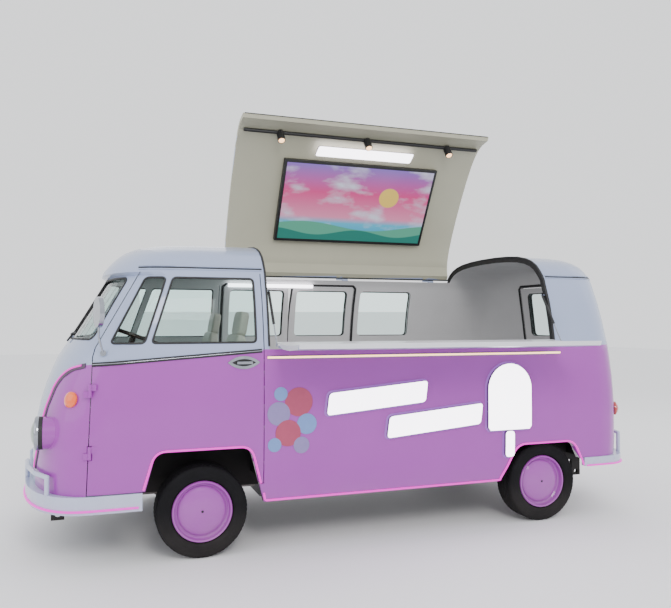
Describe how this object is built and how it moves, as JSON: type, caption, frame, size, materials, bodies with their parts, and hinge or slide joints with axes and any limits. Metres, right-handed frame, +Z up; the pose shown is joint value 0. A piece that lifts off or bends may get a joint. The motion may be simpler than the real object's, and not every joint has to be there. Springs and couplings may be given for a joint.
{
  "type": "electric food truck",
  "caption": "Round-nosed electric food truck with a lifting roof hatch, a folding serving counter, hinged doors and steered front wheels.",
  "frame": {"origin": "on the ground, in the middle of the length and of the body's width", "axes": "+X forward, +Y to the truck's left (the serving side), +Z up"},
  "size_m": [5, 2.6266, 3.4136],
  "materials": {
    "pink_paint": "gloss two-tone paint",
    "white_paint": "gloss paint",
    "glass": "clear",
    "tyre": "matt",
    "chassis_paint": "satin",
    "chrome": "polished",
    "axle_steel": "raw",
    "floor": "ribbed",
    "black_plastic": "satin",
    "seat": "soft",
    "lamp": "clear lens",
    "battery": "plain case"
  },
  "bodies": {
    "body": {"chassis": "chassis_paint", "battery_pack": "battery", "floor_pan": "floor", "wheel_boxes": "pink_paint", "front_axle": "axle_steel", "rear_axle": "axle_steel", "nose": "pink_paint", "windscreen_frame": "white_paint", "cab_roof": "white_paint", "side_left": "pink_paint", "side_right": "pink_paint", "tail_upper": "white_paint", "tail_lower": "pink_paint", "windscreen_glass": "glass", "side_glass": "glass", "dashboard": "black_plastic", "steering_wheel": "black_plastic", "seats": "seat", "front_bumper": "white_paint", "rear_bumper": "white_paint", "headlamps": "chrome", "marker_lamps": "lamp", "hinges": "chrome"},
    "left_door": {"door_left": "pink_paint", "door_left_glass": "glass", "door_left_fittings": "chrome"},
    "right_door": {"door_right": "pink_paint", "door_right_glass": "glass", "door_right_fittings": "chrome"},
    "front_cargo_leaf": {"cargo_door_front": "pink_paint", "cargo_door_front_glass": "glass"},
    "rear_cargo_leaf": {"cargo_door_rear": "pink_paint", "cargo_door_rear_glass": "glass"},
    "back_door": {"rear_door": "pink_paint", "rear_door_glass": "glass"},
    "roof_hatch": {"hatch_shell": "white_paint", "hatch_screen": "black_plastic", "light_track": "black_plastic"},
    "folding_counter": {"counter": "white_paint"},
    "barrels": {"strut_barrels": "black_plastic"},
    "rods": {"strut_rods": "chrome"},
    "left_knuckle": {"knuckle_left": "axle_steel"},
    "right_knuckle": {"knuckle_right": "axle_steel"},
    "front_left_wheel": {"tyre_front_left": "tyre", "wheel_front_left": "pink_paint"},
    "front_right_wheel": {"tyre_front_right": "tyre", "wheel_front_right": "pink_paint"},
    "rear_left_wheel": {"tyre_rear_left": "tyre", "wheel_rear_left": "pink_paint"},
    "rear_right_wheel": {"tyre_rear_right": "tyre", "wheel_rear_right": "pink_paint"}
  },
  "joints": [
    {"name": "hatch_hinge", "type": "hinge", "parent": "body", "child": "roof_hatch", "pos_m": [0, -0.77044, 2.064], "axis": [-1, 0, 0], "range_deg": [0, 61]},
    {"name": "counter_hinge", "type": "hinge", "parent": "body", "child": "folding_counter", "pos_m": [0, 0.94865, 1.455], "axis": [1, 0, 0], "range_deg": [0, 104]},
    {"name": "barrel_pivot", "type": "hinge", "parent": "body", "child": "barrels", "pos_m": [0, 0.8275, 1.86], "axis": [-1, 0, 0], "range_deg": [0, 17.48]},
    {"name": "rod_slide", "type": "slide", "parent": "barrels", "child": "rods", "axis": [0, -0.5178, 0.8555], "range_m": [0, 0.14438]},
    {"name": "left_door_hinge", "type": "hinge", "parent": "body", "child": "left_door", "pos_m": [2.048, 0.94466, 0.95], "axis": [0, 0, -1], "range_deg": [0, 65]},
    {"name": "right_door_hinge", "type": "hinge", "parent": "body", "child": "right_door", "pos_m": [2.048, -0.94466, 0.95], "axis": [0, 0, 1], "range_deg": [0, 65]},
    {"name": "front_cargo_hinge", "type": "hinge", "parent": "body", "child": "front_cargo_leaf", "pos_m": [0.833, -0.958, 0.95], "axis": [0, 0, 1], "range_deg": [0, 100]},
    {"name": "rear_cargo_hinge", "type": "hinge", "parent": "body", "child": "rear_cargo_leaf", "pos_m": [-0.507, -0.958, 0.95], "axis": [0, 0, -1], "range_deg": [0, 100]},
    {"name": "back_door_hinge", "type": "hinge", "parent": "body", "child": "back_door", "pos_m": [-2.432, -0.403, 1], "axis": [0, 0, 1], "range_deg": [0, 100]},
    {"name": "left_steer", "type": "hinge", "parent": "body", "child": "left_knuckle", "pos_m": [1.3, 0.63, 0.32], "axis": [0, 0, 1], "range_deg": [-30, 30]},
    {"name": "right_steer", "type": "hinge", "parent": "body", "child": "right_knuckle", "pos_m": [1.3, -0.63, 0.32], "axis": [0, 0, 1], "range_deg": [-30, 30]},
    {"name": "front_left_spin", "type": "hinge", "parent": "left_knuckle", "child": "front_left_wheel", "pos_m": [1.3, 0.8045, 0.32], "axis": [0, 1, 0], "continuous": true},
    {"name": "front_right_spin", "type": "hinge", "parent": "right_knuckle", "child": "front_right_wheel", "pos_m": [1.3, -0.8045, 0.32], "axis": [0, 1, 0], "continuous": true},
    {"name": "rear_left_spin", "type": "hinge", "parent": "body", "child": "rear_left_wheel", "pos_m": [-1.5, 0.8045, 0.32], "axis": [0, 1, 0], "continuous": true},
    {"name": "rear_right_spin", "type": "hinge", "parent": "body", "child": "rear_right_wheel", "pos_m": [-1.5, -0.8045, 0.32], "axis": [0, 1, 0], "continuous": true}
  ],
  "couplings": [
    {"joint": "barrel_pivot", "follows": "counter_hinge", "ratio": 0.16324},
    {"joint": "rod_slide", "follows": "counter_hinge", "m_per_rad": 0.078438},
    {"joint": "right_steer", "follows": "left_steer", "ratio": 1}
  ]
}
